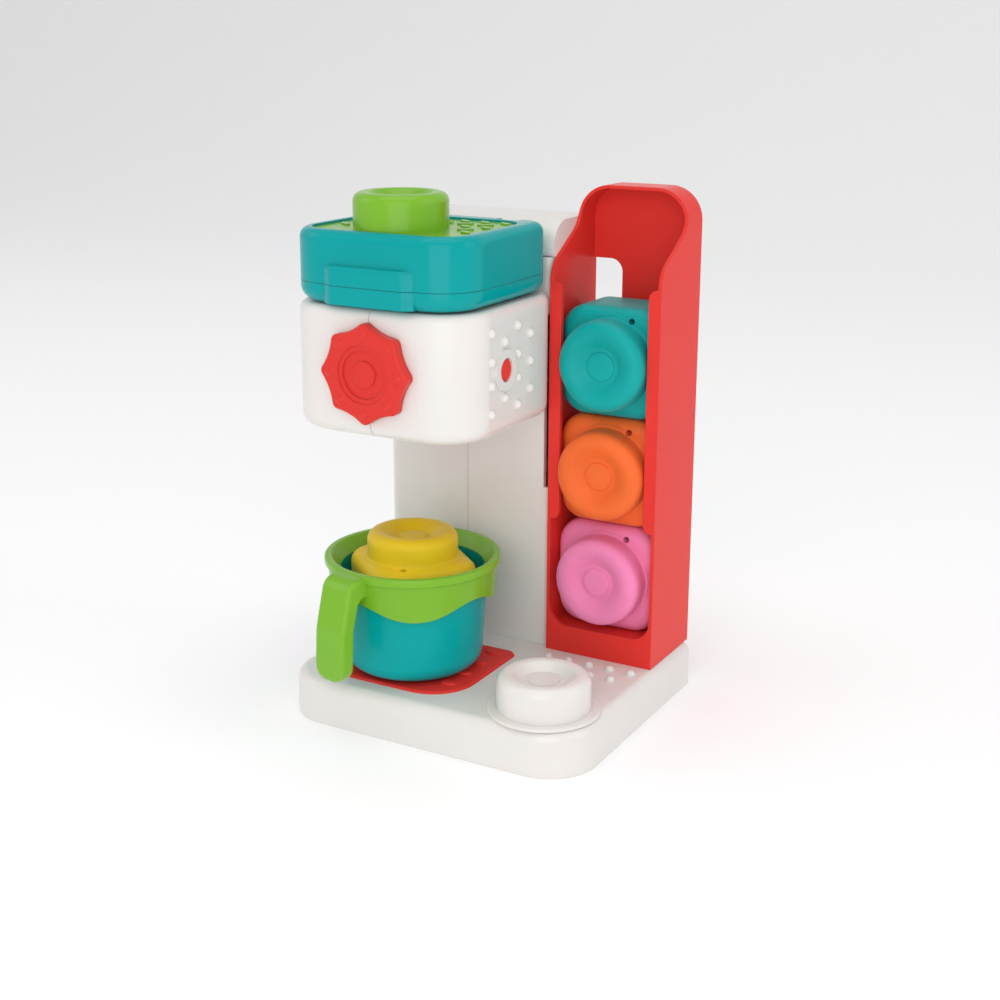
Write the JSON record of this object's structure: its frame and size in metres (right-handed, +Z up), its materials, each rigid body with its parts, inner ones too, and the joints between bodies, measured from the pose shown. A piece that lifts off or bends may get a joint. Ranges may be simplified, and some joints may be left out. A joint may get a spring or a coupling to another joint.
{
  "type": "toy coffee maker",
  "caption": "Toy coffee maker with a hinged lid, a knob that drops a soft pod into the cup below, and a side dispenser that holds spare pods.",
  "frame": {"origin": "middle of the base's underside", "axes": "+Z up, -Y to the front where the knob is, +X to the side of the pod dispenser"},
  "size_m": [0.1481, 0.1432, 0.2346],
  "materials": {
    "white_plastic": "gloss",
    "red_plastic": "gloss",
    "teal_plastic": "gloss",
    "green_plastic": "gloss",
    "pink_rubber": "satin",
    "orange_rubber": "satin",
    "teal_rubber": "satin",
    "yellow_rubber": "satin",
    "steel": "brushed"
  },
  "bodies": {
    "machine": {"base_shell": "white_plastic", "base_cover": "white_plastic", "cover_screws": "steel", "column_screws": "steel", "dispenser_screws": "steel", "parking_stud": "white_plastic", "drip_mat": "red_plastic", "body_left_shell": "white_plastic", "body_right_shell": "white_plastic", "shell_screws": "steel", "hood": "white_plastic", "pod_well": "red_plastic", "dispenser": "red_plastic"},
    "lid": {"lid_shell": "teal_plastic", "lid_base": "teal_plastic", "lid_screws": "steel", "lid_plate": "green_plastic", "lid_hinge_pins": "steel"},
    "knob_and_cradle": {"knob": "red_plastic", "pod_cradle": "red_plastic"},
    "cup": {"cup_body": "teal_plastic", "cup_collar": "green_plastic"},
    "yellow_pod": {"pod_yellow": "yellow_rubber"},
    "pink_pod": {"pod_pink": "pink_rubber"},
    "orange_pod": {"pod_orange": "orange_rubber"},
    "teal_pod": {"pod_teal": "teal_rubber"}
  },
  "joints": [
    {"name": "lid_hinge", "type": "hinge", "parent": "machine", "child": "lid", "pos_m": [-0.0265, 0.0175, 0.2134], "axis": [-1, 0, 0], "range_deg": [0, 95]},
    {"name": "knob_turn", "type": "hinge", "parent": "machine", "child": "knob_and_cradle", "pos_m": [-0.0265, -0.0231, 0.1615], "axis": [0, -1, 0], "range_deg": [-90, 90]},
    {"name": "cup_out", "type": "slide", "parent": "machine", "child": "cup", "axis": [0, -0.9397, 0.3419], "range_m": [0, 0.15]},
    {"name": "yellow_pod_lift", "type": "slide", "parent": "cup", "child": "yellow_pod", "axis": [0, 0, 1], "range_m": [0, 0.04]},
    {"name": "pink_pod_out", "type": "slide", "parent": "machine", "child": "pink_pod", "axis": [0, -1, 0], "range_m": [0, 0.045]},
    {"name": "orange_pod_lift", "type": "slide", "parent": "machine", "child": "orange_pod", "axis": [0, 0, 1], "range_m": [0, 0.02]},
    {"name": "teal_pod_lift", "type": "slide", "parent": "orange_pod", "child": "teal_pod", "axis": [0, 0, 1], "range_m": [0, 0.028]}
  ]
}
